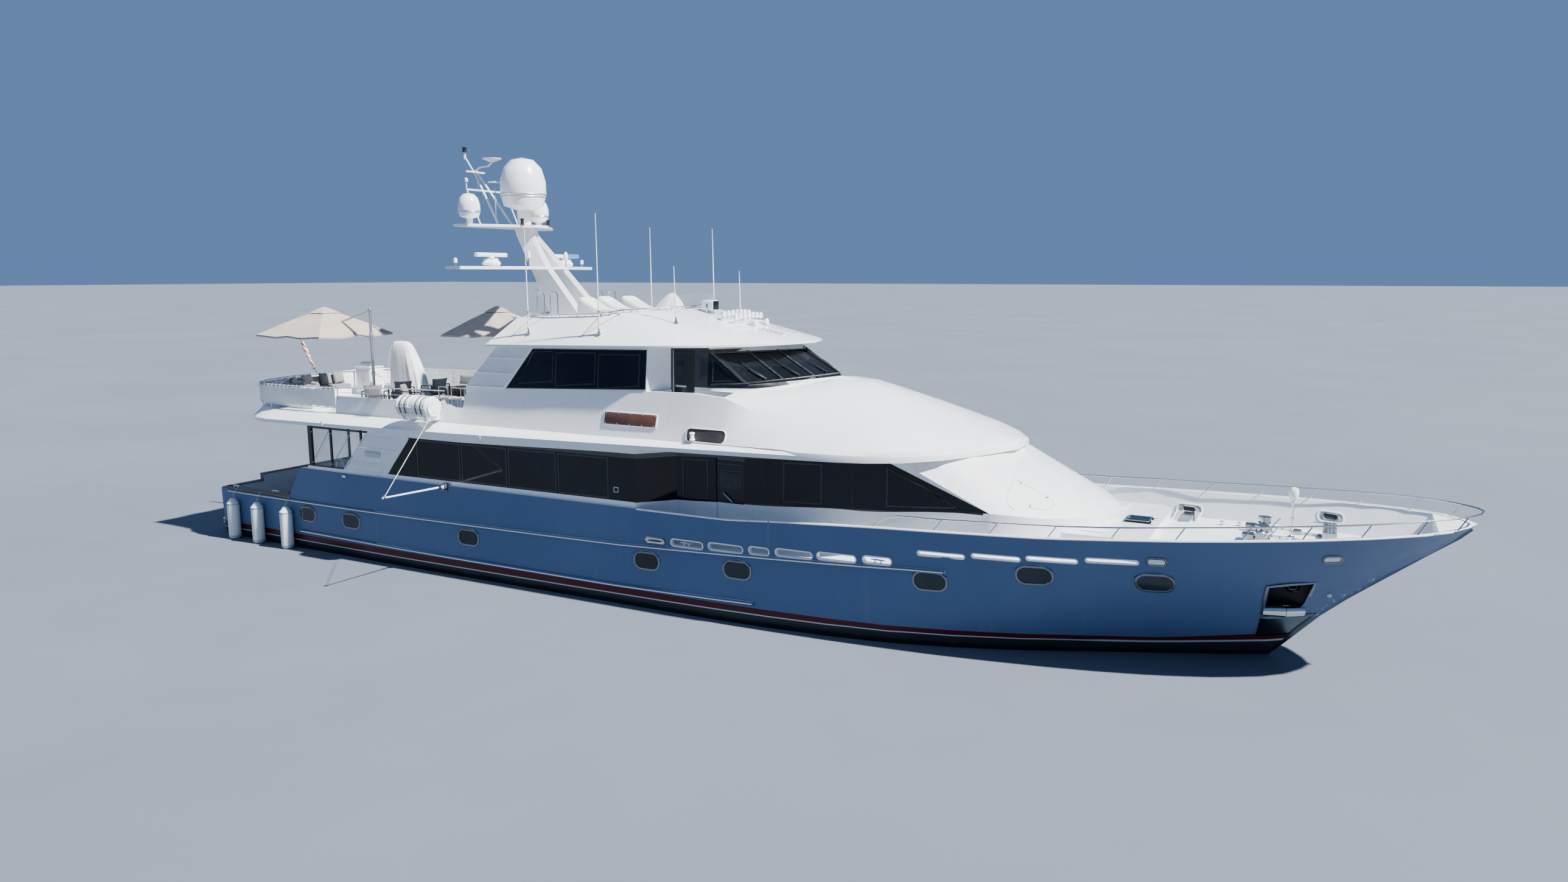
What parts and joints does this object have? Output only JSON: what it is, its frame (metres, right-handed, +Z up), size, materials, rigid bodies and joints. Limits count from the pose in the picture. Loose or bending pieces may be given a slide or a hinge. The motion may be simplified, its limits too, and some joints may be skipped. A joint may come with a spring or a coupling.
{
  "type": "motor yacht",
  "caption": "Raised-pilothouse motor yacht afloat: steel-grey hull with aft cockpit, white deckhouse with dark window bands, hardtop, raked mast and deck gear.",
  "frame": {"origin": "amidships on the centreline at the waterline", "axes": "+X points to the bow, +Y to port, +Z up"},
  "size_m": [38.1489, 10.4208, 14.98],
  "materials": {
    "hull_paint": "gloss",
    "gelcoat": "gloss",
    "spar_paint": "satin",
    "polished_steel": "polished",
    "tinted_glass": "tinted",
    "clear_screen": "clear",
    "bronze": "cast and ground",
    "canvas": "woven acrylic",
    "white_cloth": "coated cloth",
    "fender_vinyl": "soft vinyl",
    "upholstery": "woven outdoor cloth",
    "black_trim": "satin"
  },
  "bodies": {
    "boat": {"hull": "hull_paint", "swim_platform": "gelcoat", "shaft_strut_starboard": "bronze", "shaft_strut_port": "bronze", "deckhouse": "gelcoat", "saloon_glass_aft_starboard": "tinted_glass", "saloon_glass_fore_starboard": "tinted_glass", "saloon_glass_aft_port": "tinted_glass", "saloon_glass_fore_port": "tinted_glass", "boat_deck": "gelcoat", "upper_house": "gelcoat", "lounge_glass_starboard": "tinted_glass", "lounge_glass_port": "tinted_glass", "windscreen": "tinted_glass", "hardtop": "gelcoat", "sundeck_screen": "clear_screen", "mast": "spar_paint", "satellite_dome": "gelcoat", "small_dome_starboard": "gelcoat", "small_dome_port": "gelcoat", "bow_rail": "polished_steel", "boat_deck_rail": "polished_steel", "deck_post_starboard": "black_trim", "deck_post_port": "black_trim", "foredeck_platform": "gelcoat", "windlass_starboard": "polished_steel", "windlass_port": "polished_steel", "bow_chocks": "polished_steel", "bow_light_pole": "white_cloth", "boom_bracket": "polished_steel", "life_raft_starboard": "gelcoat", "life_raft_port": "gelcoat", "umbrella_aft_canopy": "canvas", "umbrella_aft_frame": "spar_paint", "umbrella_fore_canopy": "canvas", "umbrella_fore_frame": "spar_paint", "crane_cover": "white_cloth", "grill_cabinet": "gelcoat", "stern_settee": "upholstery", "anchor_bolster_starboard": "polished_steel", "anchor_bolster_port": "polished_steel", "fender_aft": "fender_vinyl", "fender_middle": "fender_vinyl", "fender_fore": "fender_vinyl"},
    "propeller_starboard": {"propeller_starboard": "bronze"},
    "propeller_port": {"propeller_port": "bronze"},
    "rudder_starboard": {"rudder_starboard": "bronze"},
    "rudder_port": {"rudder_port": "bronze"},
    "radar_scanner_starboard": {"radar_scanner_starboard": "gelcoat"},
    "radar_scanner_port": {"radar_scanner_port": "gelcoat"},
    "side_door_starboard": {"side_door_starboard": "gelcoat"},
    "side_door_port": {"side_door_port": "gelcoat"},
    "pilothouse_door_starboard": {"pilothouse_door_starboard": "gelcoat"},
    "pilothouse_door_port": {"pilothouse_door_port": "gelcoat"},
    "saloon_door_starboard": {"saloon_door_starboard": "polished_steel"},
    "saloon_door_port": {"saloon_door_port": "polished_steel"},
    "boarding_gate_starboard": {"boarding_gate_starboard": "hull_paint"},
    "boarding_gate_port": {"boarding_gate_port": "hull_paint"},
    "foredeck_hatch": {"foredeck_hatch": "tinted_glass"},
    "tender_boom": {"tender_boom": "spar_paint"}
  },
  "joints": [
    {"name": "propeller_starboard_turn", "type": "hinge", "parent": "boat", "child": "propeller_starboard", "pos_m": [-15.6, -1.75, -1.44], "axis": [0.992, 0, 0.1262], "continuous": true},
    {"name": "propeller_port_turn", "type": "hinge", "parent": "boat", "child": "propeller_port", "pos_m": [-15.6, 1.75, -1.44], "axis": [0.992, 0, 0.1262], "continuous": true},
    {"name": "rudder_starboard_steer", "type": "hinge", "parent": "boat", "child": "rudder_starboard", "pos_m": [-16.75, -1.75, -1.2], "axis": [0, 0, 1], "range_deg": [-35, 35]},
    {"name": "rudder_port_steer", "type": "hinge", "parent": "boat", "child": "rudder_port", "pos_m": [-16.75, 1.75, -1.2], "axis": [0, 0, 1], "range_deg": [-35, 35]},
    {"name": "radar_starboard_turn", "type": "hinge", "parent": "boat", "child": "radar_scanner_starboard", "pos_m": [-8.05, -1.75, 9.5], "axis": [0, 0, 1], "continuous": true},
    {"name": "radar_port_turn", "type": "hinge", "parent": "boat", "child": "radar_scanner_port", "pos_m": [-8.05, 1.75, 9.5], "axis": [0, 0, 1], "continuous": true},
    {"name": "side_door_starboard_swing", "type": "hinge", "parent": "boat", "child": "side_door_starboard", "pos_m": [1.492, -2.902, 3.05], "axis": [0, 0, -1], "range_deg": [0, 85]},
    {"name": "side_door_port_swing", "type": "hinge", "parent": "boat", "child": "side_door_port", "pos_m": [1.492, 2.902, 3.05], "axis": [0, 0, 1], "range_deg": [0, 85]},
    {"name": "pilothouse_door_starboard_swing", "type": "hinge", "parent": "boat", "child": "pilothouse_door_starboard", "pos_m": [-0.32, -2.412, 6], "axis": [0, 0, -1], "range_deg": [0, 85]},
    {"name": "pilothouse_door_port_swing", "type": "hinge", "parent": "boat", "child": "pilothouse_door_port", "pos_m": [-0.32, 2.412, 6], "axis": [0, 0, 1], "range_deg": [0, 85]},
    {"name": "saloon_door_starboard_slide", "type": "slide", "parent": "boat", "child": "saloon_door_starboard", "axis": [0, -1, 0], "range_m": [0, 1.2]},
    {"name": "saloon_door_port_slide", "type": "slide", "parent": "boat", "child": "saloon_door_port", "axis": [0, 1, 0], "range_m": [0, 1.2]},
    {"name": "boarding_gate_starboard_swing", "type": "hinge", "parent": "boat", "child": "boarding_gate_starboard", "pos_m": [2.7, -3.80397, 2.4], "axis": [0, 0, -1], "range_deg": [0, 90]},
    {"name": "boarding_gate_port_swing", "type": "hinge", "parent": "boat", "child": "boarding_gate_port", "pos_m": [2.7, 3.80397, 2.4], "axis": [0, 0, 1], "range_deg": [0, 90]},
    {"name": "foredeck_hatch_lift", "type": "hinge", "parent": "boat", "child": "foredeck_hatch", "pos_m": [11.38, 0, 2.978], "axis": [0, 1, 0], "range_deg": [0, 80]},
    {"name": "tender_boom_swing", "type": "hinge", "parent": "boat", "child": "tender_boom", "pos_m": [-8.22, -4.01, 2.74], "axis": [0, 0, 1], "range_deg": [0, 85]}
  ]
}
